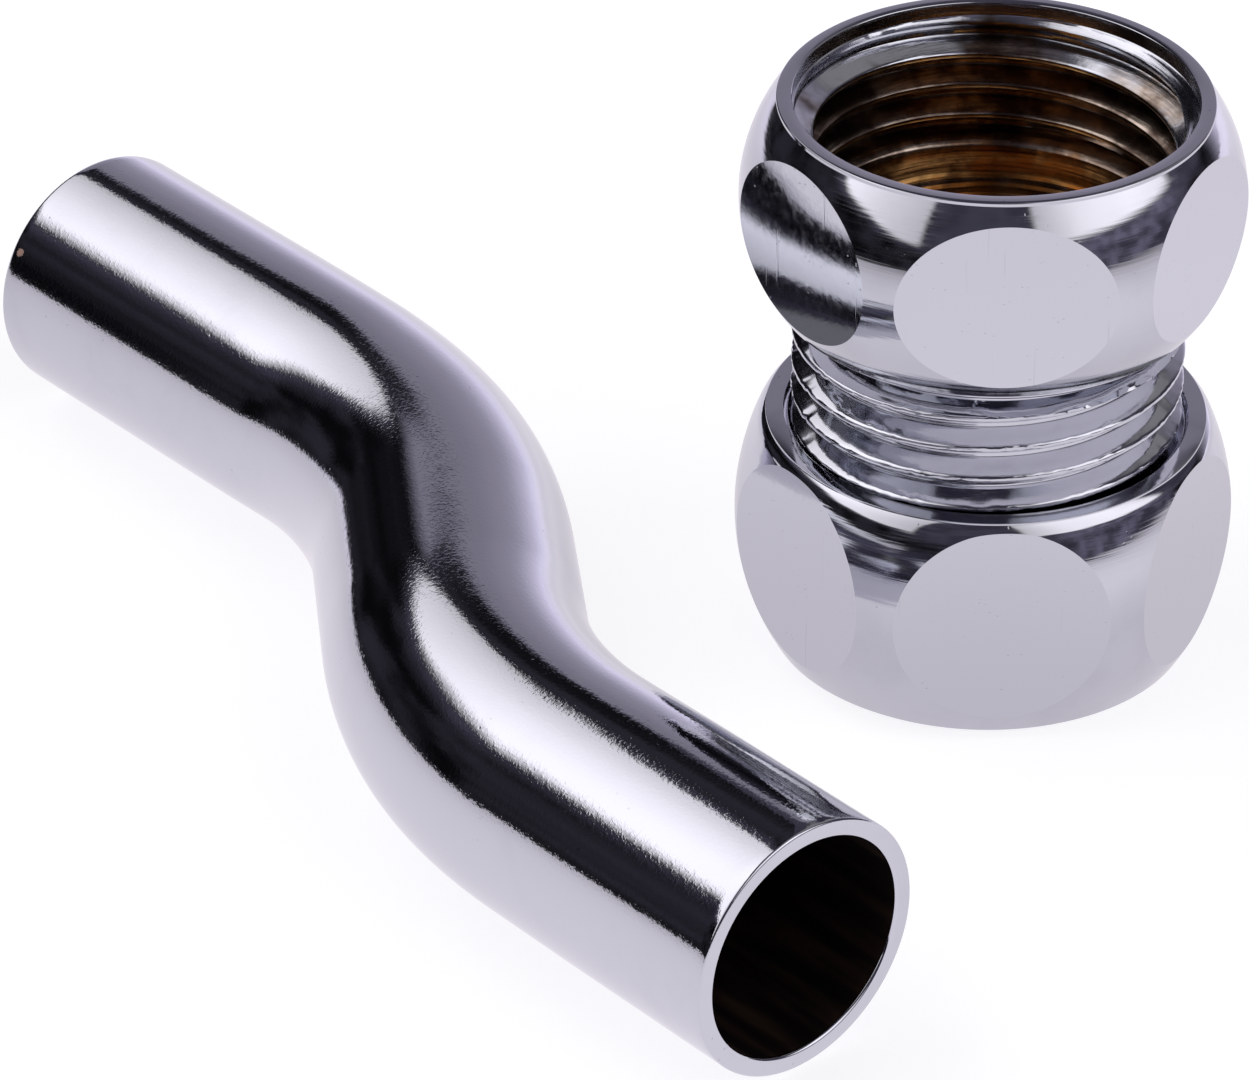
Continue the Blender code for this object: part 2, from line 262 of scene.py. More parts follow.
# =============================================================================================
# Node helpers
# =============================================================================================
class Nodes:
    """A short way to write a node tree."""

    def __init__(self, tree):
        self.tree = tree

    def new(self, kind, **values):
        node = self.tree.nodes.new(kind)
        for key, value in values.items():
            setattr(node, key, value)
        return node

    def put(self, socket, value):
        if isinstance(value, bpy.types.NodeSocket):
            self.tree.links.new(value, socket)
        elif value is not None:
            socket.default_value = value

    def math(self, operation, a, b=None, c=None, clamp=False):
        node = self.new("ShaderNodeMath", operation=operation, use_clamp=clamp)
        self.put(node.inputs[0], a)
        if b is not None:
            self.put(node.inputs[1], b)
        if c is not None:
            self.put(node.inputs[2], c)
        return node.outputs[0]

    def step(self, value, low, high, to_low=0.0, to_high=1.0, kind="SMOOTHSTEP"):
        node = self.new("ShaderNodeMapRange", interpolation_type=kind)
        self.put(node.inputs["Value"], value)
        self.put(node.inputs["From Min"], low)
        self.put(node.inputs["From Max"], high)
        self.put(node.inputs["To Min"], to_low)
        self.put(node.inputs["To Max"], to_high)
        return node.outputs[0]

    def curve(self, value, points):
        """A smooth curve through a few (x, y) points, flat beyond its ends."""
        xs = [x for x, _ in points]
        ys = [y for _, y in points]
        low, high = min(ys), max(ys)
        node = self.new("ShaderNodeFloatCurve")
        self.put(node.inputs["Value"], self.step(value, xs[0], xs[-1], kind="LINEAR"))
        line = node.mapping.curves[0]
        places = [((x - xs[0]) / (xs[-1] - xs[0]), (y - low) / (high - low)) for x, y in points]
        line.points[0].location = places[0]
        line.points[1].location = places[-1]
        for place in places[1:-1]:
            line.points.new(*place)
        node.mapping.update()
        return self.step(node.outputs[0], 0.0, 1.0, low, high, kind="LINEAR")

    def mix(self, factor, a, b):
        node = self.new("ShaderNodeMix", data_type="RGBA")
        self.put(node.inputs[0], factor)
        self.put(node.inputs[6], a)
        self.put(node.inputs[7], b)
        return node.outputs[2]

    def mapping(self, vector, scale=(1, 1, 1), location=(0, 0, 0), rotation=(0, 0, 0)):
        node = self.new("ShaderNodeMapping")
        self.put(node.inputs["Vector"], vector)
        node.inputs["Location"].default_value = location
        node.inputs["Rotation"].default_value = rotation
        node.inputs["Scale"].default_value = scale
        return node.outputs[0]

    def noise(self, vector, scale, detail=2.0, roughness=0.5, distortion=0.0):
        node = self.new("ShaderNodeTexNoise")
        self.put(node.inputs["Vector"], vector)
        node.inputs["Scale"].default_value = scale
        node.inputs["Detail"].default_value = detail
        node.inputs["Roughness"].default_value = roughness
        node.inputs["Distortion"].default_value = distortion
        return node.outputs["Fac"]

    def voronoi(self, vector, scale, feature="F1", randomness=1.0):
        node = self.new("ShaderNodeTexVoronoi", feature=feature)
        self.put(node.inputs["Vector"], vector)
        node.inputs["Scale"].default_value = scale
        node.inputs["Randomness"].default_value = randomness
        return node.outputs["Distance"]

    def bump(self, height, strength, distance, normal=None):
        node = self.new("ShaderNodeBump")
        node.inputs["Strength"].default_value = strength
        node.inputs["Distance"].default_value = distance
        self.put(node.inputs["Height"], height)
        if normal is not None:
            self.put(node.inputs["Normal"], normal)
        return node.outputs[0]


def new_material(name, metallic=1.0):
    material = bpy.data.materials.new(name)
    material.use_nodes = True
    tree = material.node_tree
    shader = tree.nodes["Principled BSDF"]
    shader.inputs["Metallic"].default_value = metallic
    n = Nodes(tree)
    coordinates = n.new("ShaderNodeTexCoord").outputs["Object"]
    return material, n, shader, coordinates


CHROME = (0.63, 0.64, 0.69, 1.0)
CHROME_DULL = (0.50, 0.50, 0.55, 1.0)


def axis_space(n, coordinates, scale=(1, 1, 1)):
    """Coordinates measured from the coupling's axis."""
    moved = n.mapping(coordinates, location=(-AXIS_X, -AXIS_Y, 0.0))
    return n.mapping(moved, scale=scale)


def pits(n, vector, scale, size, amount):
    """Sparse small pits: 1 in a pit, 0 elsewhere."""
    cell = n.voronoi(vector, scale)
    sparse = n.step(n.noise(vector, scale * 0.31, detail=1.0), amount, amount + 0.04)
    return n.math("MULTIPLY", n.step(cell, size, size * 0.4), sparse)


def chrome_turned(name, marks=0.55, streak=8200.0):
    """Bright plating over a lathe-turned surface: fine marks run round the axis."""
    material, n, shader, co = new_material(name)
    around = axis_space(n, co, scale=(230.0, 230.0, streak))
    fine = n.noise(around, 1.0, detail=2.0, roughness=0.6)
    coarse = n.noise(axis_space(n, co, scale=(110.0, 110.0, 2300.0)), 1.0, detail=2.0)
    peel = n.noise(co, 1500.0, detail=2.0)
    coarse = n.math("MULTIPLY", coarse, marks * 1.4)
    height = n.math("ADD", n.math("MULTIPLY", fine, marks * 0.6), coarse)
    height = n.math("ADD", height, n.math("MULTIPLY", peel, 0.10))
    spots = pits(n, co, 1700.0, 0.16, 0.60)
    height = n.math("SUBTRACT", height, n.math("MULTIPLY", spots, 0.6))
    n.put(shader.inputs["Normal"], n.bump(height, 1.0, 0.0000042))
    dull = n.step(fine, 0.35, 0.75)
    n.put(shader.inputs["Roughness"], n.step(dull, 0.0, 1.0, 0.045, 0.13))
    shade = n.math("MULTIPLY", n.step(n.noise(co, 260.0, detail=4.0), 0.35, 0.8), 0.35)
    shade = n.math("MAXIMUM", shade, n.math("MULTIPLY", spots, 0.7))
    n.put(shader.inputs["Base Color"], n.mix(shade, CHROME, CHROME_DULL))
    return material


def chrome_flat(name):
    """Bright plating over a milled flat: slight orange peel, fine scratches and pits."""
    material, n, shader, co = new_material(name)
    peel = n.noise(co, 2300.0, detail=2.0, roughness=0.55)
    wave = n.noise(co, 220.0, detail=1.0)
    milled = n.mapping(co, scale=(60.0, 60.0, 2400.0), rotation=(0.0, 0.35, 0.0))
    line = n.noise(milled, 1.0, detail=2.0)
    height = n.math("ADD", n.math("MULTIPLY", peel, 0.26), n.math("MULTIPLY", line, 0.16))
    height = n.math("ADD", height, n.math("MULTIPLY", wave, 0.45))
    spots = pits(n, n.mapping(co, scale=(1.0, 1.0, 1.8)), 1900.0, 0.17, 0.57)
    upright = n.mapping(co, scale=(3200.0, 3200.0, 110.0), rotation=(0.05, 0.08, 0.0))
    upright = n.noise(upright, 1.0, detail=1.0)
    slanted = n.mapping(co, scale=(2600.0, 2600.0, 120.0), rotation=(0.3, 0.9, 0.2))
    slanted = n.noise(slanted, 1.0, detail=1.0)
    scratches = n.math("MAXIMUM", n.step(upright, 0.73, 0.78), n.step(slanted, 0.73, 0.78))
    height = n.math("SUBTRACT", height, n.math("MULTIPLY", spots, 0.7))
    height = n.math("SUBTRACT", height, n.math("MULTIPLY", scratches, 0.5))
    n.put(shader.inputs["Normal"], n.bump(height, 1.0, 0.0000030))
    n.put(shader.inputs["Roughness"], n.step(peel, 0.3, 0.8, 0.03, 0.08))
    shade = n.math("MAXIMUM", n.math("MULTIPLY", spots, 0.8), n.math("MULTIPLY", scratches, 0.35))
    n.put(shader.inputs["Base Color"], n.mix(shade, CHROME, CHROME_DULL))
    return material


def chrome_thread(name):
    """Plated thread: bright flanks with small torn burrs along the cut."""
    material, n, shader, co = new_material(name)
    around = axis_space(n, co, scale=(160.0, 160.0, 3200.0))
    fine = n.noise(around, 1.0, detail=4.0, roughness=0.7)
    torn = n.noise(axis_space(n, co, scale=(420.0, 420.0, 1300.0)), 1.0, detail=3.0)
    burrs = n.math("MULTIPLY", n.step(torn, 0.55, 0.75), 1.3)
    height = n.math("ADD", n.math("MULTIPLY", fine, 0.7), burrs)
    n.put(shader.inputs["Normal"], n.bump(height, 1.0, 0.0000058))
    n.put(shader.inputs["Roughness"], n.step(fine, 0.3, 0.8, 0.06, 0.17))
    shade = n.math("MULTIPLY", n.step(torn, 0.5, 0.85), 0.55)
    n.put(shader.inputs["Base Color"], n.mix(shade, CHROME, CHROME_DULL))
    return material


def socket_metal(name):
    """Inside of the socket: thin plating at the mouth that fades to bare brass, painted near-black as
    shade for the deep bore.
    """
    material, n, shader, co = new_material(name)
    space = axis_space(n, co)
    height_m = n.new("ShaderNodeSeparateXYZ")
    n.put(height_m.inputs[0], space)
    z = height_m.outputs[2]
    patch = n.noise(space, 230.0, detail=3.0, roughness=0.6)
    level = n.math("ADD", z, n.math("MULTIPLY", n.math("SUBTRACT", patch, 0.5), 0.006))
    plated = n.step(level, 0.0292, 0.0304)
    around = n.mapping(space, scale=(120.0, 120.0, 4200.0))
    fine = n.noise(around, 1.0, detail=4.0, roughness=0.7)
    chatter = n.noise(n.mapping(space, scale=(2600.0, 2600.0, 300.0)), 1.0, detail=1.0)
    tint = n.step(n.noise(space, 330.0, detail=4.0, roughness=0.65), 0.38, 0.66)
    # painted shade: the bare brass colours and the darker turning streaks are near-black, standing in
    # for the shade inside the bore
    bare = n.mix(tint, (0.10, 0.064, 0.048, 1.0), (0.56, 0.46, 0.38, 1.0))
    deep = n.math("MULTIPLY", n.step(z, 0.0262, 0.0228), n.step(patch, 0.44, 0.62))
    bare = n.mix(deep, bare, (0.42, 0.20, 0.075, 1.0))
    bare = n.mix(n.step(fine, 0.42, 0.70), bare, (0.055, 0.035, 0.028, 1.0))
    n.put(shader.inputs["Base Color"], n.mix(plated, bare, CHROME))
    rough = n.step(plated, 0.0, 1.0, 0.19, 0.08)
    n.put(shader.inputs["Roughness"], n.math("ADD", rough, n.math("MULTIPLY", fine, 0.08)))
    height = n.math("ADD", n.math("MULTIPLY", fine, 1.9), n.math("MULTIPLY", chatter, 0.45))
    n.put(shader.inputs["Normal"], n.bump(height, 1.0, 0.000010))
    return material


def tube_chrome(name):
    """Bright plating over drawn tube: smooth, with specks, faint smudges and drawn lines."""
    material, n, shader, co = new_material(name)
    grain = n.noise(co, 900.0, detail=3.0, roughness=0.55)
    drawn = n.noise(n.mapping(co, scale=(60.0, 1500.0, 1500.0)), 1.0, detail=2.0)
    broad = n.noise(co, 95.0, detail=1.5)
    speckle = n.step(n.noise(co, 5200.0, detail=2.0, roughness=0.6), 0.42, 0.80)
    spots = pits(n, co, 1300.0, 0.15, 0.58)
    height = n.math("ADD", n.math("MULTIPLY", grain, 0.55), n.math("MULTIPLY", drawn, 0.18))
    height = n.math("ADD", height, n.math("MULTIPLY", broad, 1.8))
    height = n.math("ADD", height, n.math("MULTIPLY", speckle, 0.42))
    height = n.math("SUBTRACT", height, n.math("MULTIPLY", spots, 0.6))
    n.put(shader.inputs["Normal"], n.bump(height, 1.0, 0.0000045))
    smudge = n.step(n.noise(co, 210.0, detail=5.0, roughness=0.62, distortion=0.4), 0.48, 0.78)
    rough = n.step(smudge, 0.0, 1.0, 0.03, 0.10)
    shade = n.math("MAXIMUM", n.math("MULTIPLY", smudge, 0.22), n.math("MULTIPLY", spots, 0.75))
    chip = n.new("ShaderNodeVectorMath", operation="DISTANCE")
    n.put(chip.inputs[0], co)
    chip.inputs[1].default_value = CHIP
    worn = n.math("ADD", chip.outputs["Value"], n.math("MULTIPLY", n.noise(co, 3000.0), 0.0003))
    bare = n.step(worn, 0.00046, 0.00034)
    plating = n.mix(shade, CHROME, CHROME_DULL)
    n.put(shader.inputs["Base Color"], n.mix(bare, plating, (0.62, 0.42, 0.34, 1.0)))
    n.put(shader.inputs["Roughness"], n.math("MAXIMUM", rough, n.math("MULTIPLY", bare, 0.55)))
    return material


def tube_bore(name):
    """Unplated inside of the copper tube, almost black with oxide."""
    material, n, shader, co = new_material(name, metallic=0.6)
    streak = n.noise(n.mapping(co, scale=(90.0, 900.0, 900.0)), 1.0, detail=3.0)
    oxide = n.mix(n.step(streak, 0.4, 0.75), (0.010, 0.006, 0.005, 1.0), (0.045, 0.024, 0.015, 1.0))
    n.put(shader.inputs["Base Color"], oxide)
    n.put(shader.inputs["Roughness"], n.step(streak, 0.3, 0.8, 0.45, 0.7))
    n.put(shader.inputs["Normal"], n.bump(streak, 0.6, 0.00002))
    return material


def bare_brass(name):
    material, n, shader, co = new_material(name)
    around = axis_space(n, co, scale=(150.0, 150.0, 3600.0))
    fine = n.noise(around, 1.0, detail=4.0, roughness=0.7)
    tarnish = n.step(n.noise(co, 300.0, detail=4.0), 0.42, 0.72)
    n.put(shader.inputs["Base Color"], n.mix(tarnish, (0.82, 0.56, 0.24, 1.0), (0.50, 0.29, 0.12, 1.0)))
    n.put(shader.inputs["Roughness"], n.step(fine, 0.3, 0.8, 0.16, 0.30))
    n.put(shader.inputs["Normal"], n.bump(fine, 1.0, 0.000008))
    return material


# =============================================================================================
# Pieces
# =============================================================================================
def make_body():
    """Materials: 0 turned chrome, 1 milled flat, 2 plated thread, 3 socket inside, 4 brass."""
    s = Skin()
    mm = MM
    s.material = 4
    s.add(8.45 * mm, 5.8 * mm)
    s.material = 2
    s.add(9.05 * mm, 5.8 * mm)
    s.helix(6.05 * mm, 19.2 * mm, MALE, ((9.28 * mm, 1.0 * mm), (9.22 * mm, 0.3 * mm)),
            ragged=0.30 * mm, nick=0.16 * mm)
    s.add(9.22 * mm, 19.27 * mm)
    s.add(9.62 * mm, 19.36 * mm)
    s.material = 0
    s.add(9.66 * mm, 19.42 * mm)
    s.add(9.66 * mm, 19.86 * mm)
    s.arc(9.96 * mm, 19.9 * mm, 0.3 * mm, 180.0, 92.0, 5)
    s.add(10.6 * mm, 20.28 * mm)
    s.arc(10.85 * mm, 20.42 * mm, 0.17 * mm, -90.0, 60.0, 6)
    s.add(11.02 * mm, 20.62 * mm)
    low, high = 20.72 * mm, 31.80 * mm
    for k in range(DOME_STEPS + 1):
        z = low + (high - low) * k / DOME_STEPS
        s.add(barrel(z, HEAD_DOME), z)
    s.arc(11.35 * mm, 31.93 * mm, 0.07 * mm, 20.0, 90.0, 4)
    s.arc(10.66 * mm, 31.94 * mm, 0.06 * mm, 90.0, 180.0, 3)
    s.material = 3
    s.add(10.58 * mm, 31.25 * mm)
    s.helix(24.0 * mm, 31.2 * mm, FEMALE, ((9.3 * mm, 0.6 * mm), (10.5 * mm, 0.95 * mm)),
            downwards=True, phase=-0.2 * mm, ragged=0.16 * mm)
    tool_marks = ((23.4, 0.0), (23.0, 0.05), (22.6, 0.0), (22.3, 0.0), (22.05, 0.10), (21.8, 0.0),
                  (21.5, 0.04))
    for z, dr in tool_marks:
        s.add((9.3 + dr) * mm, z * mm)
    s.add(9.25 * mm, 21.2 * mm)
    s.material = 4
    s.add(9.2 * mm, 21.2 * mm)
    s.add(6.3 * mm, 21.2 * mm)
    s.add(6.1 * mm, 21.0 * mm)
    s.add(6.1 * mm, 16.0 * mm)
    s.add(7.15 * mm, 16.0 * mm)
    s.add(7.15 * mm, 7.78 * mm)
    s.close()
    s.mill(HEAD_FLATS, HEAD_AZIMUTH, 1, off_true=HEAD_OFF_TRUE)
    return s.bm


def make_nut():
    """Materials: 0 turned chrome, 1 milled flat, 2 plated thread, 3 not used, 4 brass."""
    s = Skin()
    mm = MM
    s.material = 0
    s.add(11.1 * mm, 0.0)
    s.arc(11.12 * mm, 0.16 * mm, 0.16 * mm, -80.0, -10.0, 4)
    low, high = 0.2 * mm, 12.5 * mm
    for k in range(DOME_STEPS + 1):
        z = low + (high - low) * k / DOME_STEPS
        s.add(barrel(z, NUT_DOME), z)
    tilt = math.asin((high - NUT_DOME[0]) / NUT_DOME[2])
    shoulder = 1.7 * mm
    rim_r = barrel(high, NUT_DOME)
    s.arc(rim_r - shoulder * math.cos(tilt), high - shoulder * math.sin(tilt), shoulder,
          math.degrees(tilt) + 1.5, 49.5, 14)
    s.arc(11.70 * mm, 13.13 * mm, 0.07 * mm, 52.0, 90.0, 3)
    s.add(10.80 * mm, 13.2 * mm)
    s.material = 2
    s.add(10.62 * mm, 13.08 * mm)
    s.helix(3.9 * mm, 13.0 * mm, FEMALE, ((10.62 * mm, 0.6 * mm), (10.56 * mm, 0.28 * mm)),
            downwards=True)
    s.material = 4
    s.add(10.62 * mm, 2.8 * mm)
    s.add(8.45 * mm, 2.8 * mm)
    s.add(7.3 * mm, 1.05 * mm)
    s.add(7.3 * mm, 0.3 * mm)
    s.material = 0
    s.add(7.34 * mm, 0.12 * mm)
    s.add(7.5 * mm, 0.0)
    s.close()
    s.mill(NUT_FLATS, NUT_AZIMUTH, 1)
    return s.bm


def make_ring():
    """The olive: a barrel with a cone at each end, as (radius, height from its middle) in mm."""
    s = Skin()
    mm = MM
    z = 4.3
    outline = ((7.08, -2.4), (7.40, -2.4), (7.45, -2.34), (8.42, -0.86), (8.5, -0.74), (8.5, 0.74),
               (8.42, 0.86), (7.45, 2.34), (7.40, 2.4), (7.08, 2.4))
    for radius, height in outline:
        s.add(radius * mm, (z + height) * mm)
    s.close()
    return s.bm


def tube_path():
    """Stations of the tube's centre line: (x, y, heading, distance) from the near end."""
    near_leg, far_leg = 17.4 * MM, 20.6 * MM
    near_bend, far_bend = 25.2 * MM, 28.2 * MM
    turn, slant = math.radians(35.55), 8.15 * MM
    stations = []
    for k in range(26):
        stations.append((-near_leg * k / 25.0, 0.0, 0.0))
    for k in range(1, 41):
        a = turn * k / 40.0
        stations.append((-near_leg - near_bend * math.sin(a), near_bend * (1.0 - math.cos(a)), a))
    x, y, a = stations[-1]
    for k in range(1, 13):
        d = slant * k / 12.0
        stations.append((x - d * math.cos(turn), y + d * math.sin(turn), turn))
    x, y, a = stations[-1]
    cx, cy = x - far_bend * math.sin(turn), y - far_bend * math.cos(turn)
    for k in range(1, 41):
        a = turn * (1.0 - k / 40.0)
        stations.append((cx + far_bend * math.sin(a), cy + far_bend * math.cos(a), a))
    x, y, a = stations[-1]
    for k in range(1, 31):
        stations.append((x - far_leg * k / 30.0, y, 0.0))
    result = []
    distance = 0.0
    previous = None
    for x, y, a in stations:
        if previous is not None:
            distance += math.hypot(x - previous[0], y - previous[1])
        result.append((x, y, a, distance))
        previous = (x, y)
    return result


def bend_squeeze(distance):
    """How much the section narrows where each bend begins, as a share of the radius."""
    s = distance / MM
    narrow = 0.006 * math.exp(-((s - 18.0) / 4.5) ** 2) + 0.011 * math.exp(-((s - 55.5) / 4.5) ** 2)
    return 1.0 - narrow


def make_tube():
    """Materials: 0 chrome, 1 dark bore, 2 cut end."""
    bm = bmesh.new()
    stations = tube_path()
    total = stations[-1][3]

    def ring(station, radius, slip=0.0):
        x, y, a, distance = station
        radius *= bend_squeeze(distance)
        x -= slip * math.cos(a)
        y += slip * math.sin(a)
        loop = []
        for j in range(TUBE_SEGMENTS):
            t = 2.0 * math.pi * j / TUBE_SEGMENTS
            across = radius * math.cos(t)
            loop.append(bm.verts.new((TUBE_NEAR_X + x + across * math.sin(a),
                                      TUBE_NEAR_Y + y + across * math.cos(a),
                                      TUBE_RADIUS + radius * math.sin(t))))
        return loop

    def join(first, second, material):
        for j in range(TUBE_SEGMENTS):
            k = (j + 1) % TUBE_SEGMENTS
            bm.faces.new((first[j], first[k], second[k], second[j])).material_index = material

    rings = []
    near, far = stations[0], stations[-1]
    edge_out, edge_in = 0.16 * MM, 0.2 * MM
    rings.append((ring(near, TUBE_BORE, slip=edge_in), 2))
    for k in range(1, 5):
        a = math.radians(90.0 * k / 4.0)
        radius = TUBE_BORE + edge_in * (1.0 - math.cos(a))
        rings.append((ring(near, radius, slip=edge_in * (1.0 - math.sin(a))), 2))
    for k in range(0, 5):
        a = math.radians(90.0 * k / 4.0)
        radius = TUBE_RADIUS - edge_out + edge_out * math.sin(a)
        rings.append((ring(near, radius, slip=edge_out * (1.0 - math.cos(a))), 0))
    for station in stations[1:-1]:
        rings.append((ring(station, TUBE_RADIUS), 0))
    edge_far = 0.3 * MM
    for k in range(0, 6):
        a = math.radians(90.0 * k / 5.0)
        radius = TUBE_RADIUS - edge_far + edge_far * math.cos(a)
        rings.append((ring(far, radius, slip=-edge_far * (1.0 - math.sin(a))), 0))
    for k in range(0, 5):
        a = math.radians(90.0 * k / 4.0)
        radius = TUBE_BORE + edge_in - edge_in * math.sin(a)
        rings.append((ring(far, radius, slip=-edge_in * (1.0 - math.cos(a))), 2))
    for station in reversed(stations[1:-1]):
        rings.append((ring(station, TUBE_BORE), 1))
    for (first, _), (second, material) in zip(rings, rings[1:]):
        join(first, second, material)
    join(rings[-1][0], rings[0][0], 1)
    return bm


TURNED = chrome_turned("chrome_turned", marks=0.8)
TURNED_NUT = chrome_turned("chrome_turned_nut", marks=0.95)
FLAT = chrome_flat("chrome_milled")
THREAD = chrome_thread("chrome_thread")
SOCKET = socket_metal("socket_brass_painted_shade")
BARE = bare_brass("bare_brass")

AXIS = (AXIS_X, AXIS_Y)

body = finish_piece("coupling_body_skin", make_body(), (TURNED, FLAT, THREAD, SOCKET, BARE), AXIS)
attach(body, "coupling")
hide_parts("fitting_body")

nut = finish_piece("compression_nut_skin", make_nut(), (TURNED_NUT, FLAT, THREAD, SOCKET, BARE), AXIS)
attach(nut, "nut")
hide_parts("compression_nut")

ring = finish_piece("compression_ring_skin", make_ring(), (BARE,), AXIS)
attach(ring, "ring")
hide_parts("compression_ring")

tube = finish_piece("offset_tube_skin", make_tube(),
                    (tube_chrome("tube_chrome"), tube_bore("tube_bore"), FLAT), sharp=40.0)
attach(tube, "tube")
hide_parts("offset_tube")


# =============================================================================================
# Stage, light and camera
# =============================================================================================
def make_disc(name, profile, segments=96):
    """A round sheet swept from (radius, height) points, starting at its middle."""
    bm = bmesh.new()
    middle = bm.verts.new((0.0, 0.0, profile[0][1]))
    last = None
    for radius, height in profile[1:]:
        ring = [bm.verts.new((radius * math.cos(2.0 * math.pi * j / segments),
                              radius * math.sin(2.0 * math.pi * j / segments), height))
                for j in range(segments)]
        for j in range(segments):
            k = (j + 1) % segments
            if last is None:
                bm.faces.new((middle, ring[j], ring[k]))
            else:
                bm.faces.new((last[j], ring[j], ring[k], last[k]))
        last = ring
    mesh = bpy.data.meshes.new(name)
    bm.to_mesh(mesh)
    bm.free()
    mesh.shade_smooth()
    obj = bpy.data.objects.new(name, mesh)
    bpy.context.scene.collection.objects.link(obj)
    return obj


def make_floor():
    """A pale sweep seen by the camera that glows with painted light, dimmer away from the middle, and
    the lit table that the metal mirrors.
    """
    sweep = [(0.0, -0.00005), (0.3, -0.00005), (1.1, -0.00005)]
    for k in range(1, 13):
        a = math.radians(90.0 * k / 12.0)
        sweep.append((1.1 + 0.6 * math.sin(a), 0.6 * (1.0 - math.cos(a))))
    sweep.append((1.7, 2.2))
    floor = make_disc("floor", sweep)
    floor.visible_glossy = False
    floor.visible_diffuse = False
    floor.visible_shadow = False
    material = bpy.data.materials.new("pale_table_painted_glow")
    material.use_nodes = True
    n = Nodes(material.node_tree)
    shader = material.node_tree.nodes["Principled BSDF"]
    place = n.new("ShaderNodeTexCoord").outputs["Object"]
    length = n.new("ShaderNodeVectorMath", operation="LENGTH")
    n.put(length.inputs[0], place)
    # painted light: the sweep glows by itself, and its colour and glow are painted dimmer away from the
    # middle
    falloff = n.step(length.outputs["Value"], 0.16, 0.9)
    n.put(shader.inputs["Base Color"], n.mix(falloff, (0.45, 0.45, 0.45, 1.0), (0.30, 0.30, 0.31, 1.0)))
    shine = n.mix(falloff, (0.76, 0.76, 0.77, 1.0), (0.42, 0.42, 0.44, 1.0))
    n.put(shader.inputs["Emission Color"], shine)
    shader.inputs["Emission Strength"].default_value = 1.0
    shader.inputs["Roughness"].default_value = 0.9
    shader.inputs["Specular IOR Level"].default_value = 0.0
    floor.data.materials.append(material)

    table = make_disc("table_glow", [(0.0, -0.0001), (0.2, -0.0001), (0.75, -0.0001)])
    table.visible_camera = False
    table.visible_diffuse = False
    table.visible_shadow = False
    material = bpy.data.materials.new("lit_table")
    material.use_nodes = True
    tree = material.node_tree
    tree.nodes.remove(tree.nodes["Principled BSDF"])
    n = Nodes(tree)
    place = n.new("ShaderNodeTexCoord").outputs["Object"]
    length = n.new("ShaderNodeVectorMath", operation="LENGTH")
    n.put(length.inputs[0], place)
    fall = n.math("POWER", n.math("DIVIDE", length.outputs["Value"], 0.33), 1.5)
    parts = n.new("ShaderNodeSeparateXYZ")
    n.put(parts.inputs[0], place)
    x, y, _ = parts.outputs
    # away from the camera the table stays bright, to meet the backdrop without a line
    rear = n.math("ADD", n.math("MULTIPLY", x, -0.752), n.math("MULTIPLY", y, 0.659))
    fall = n.math("MULTIPLY", fall, n.step(rear, 0.02, 0.16, 1.0, 0.02))
    light = n.math("DIVIDE", 1.0, n.math("ADD", 1.0, fall))
    # the coupling keeps some light off the table at its foot
    foot = n.new("ShaderNodeVectorMath", operation="DISTANCE")
    n.put(foot.inputs[0], place)
    foot.inputs[1].default_value = (AXIS_X, AXIS_Y, 0.0)
    light = n.math("MULTIPLY", light, n.step(foot.outputs["Value"], 0.012, 0.050, 0.80, 1.0))
    slope = n.math("ADD", n.math("MULTIPLY", x, 1.3), n.math("MULTIPLY", y, 0.5))
    light = n.math("MULTIPLY", light, n.step(slope, -0.1, 0.12, 0.92, 1.12, kind="LINEAR"))
    # the table ends on the photograph's left, and never goes quite black
    aside = n.math("ADD", n.math("MULTIPLY", x, -0.84), n.math("MULTIPLY", y, -0.545))
    light = n.math("MAXIMUM", n.math("MULTIPLY", light, n.step(aside, 0.27, 0.155)), 0.028)
    glow = n.new("ShaderNodeEmission")
    tint = n.mix(n.step(rear, 0.04, 0.2), (0.93, 0.885, 0.955, 1.0), (1.0, 0.94, 1.10, 1.0))
    n.put(glow.inputs["Color"], tint)
    n.put(glow.inputs["Strength"], light)
    n.put(tree.nodes["Material Output"].inputs["Surface"], glow.outputs[0])
    table.data.materials.append(material)


VIEW_AZIMUTH = -41.2


